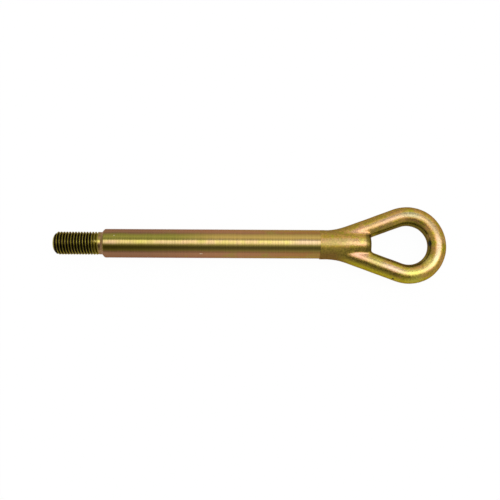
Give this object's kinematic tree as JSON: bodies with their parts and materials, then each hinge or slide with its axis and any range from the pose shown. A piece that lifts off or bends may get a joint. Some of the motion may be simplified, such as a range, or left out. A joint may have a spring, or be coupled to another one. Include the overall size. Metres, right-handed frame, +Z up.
{
  "type": "tow eye",
  "caption": "Screw-in car tow eye: threaded stud, bevelled shoulder and long round shank, ending in a forged teardrop eye that takes a tow hook or shackle.",
  "frame": {"origin": "on the shank's axis, at the foot of the stud where the bevelled shoulder begins", "axes": "+X along the shank towards the eye, the stud points along -X, the eye lies flat in the XY plane and +Z goes up through its hole"},
  "size_m": [0.273, 0.0543, 0.0206],
  "materials": {
    "passivated_zinc": "yellow passivated zinc plate on steel, gold with green and pink tints: turned and satin on the shank, shot-blasted on the neck and eye, darker in the thread"
  },
  "bodies": {
    "root": {"tow_eye": "passivated_zinc"}
  },
  "joints": []
}
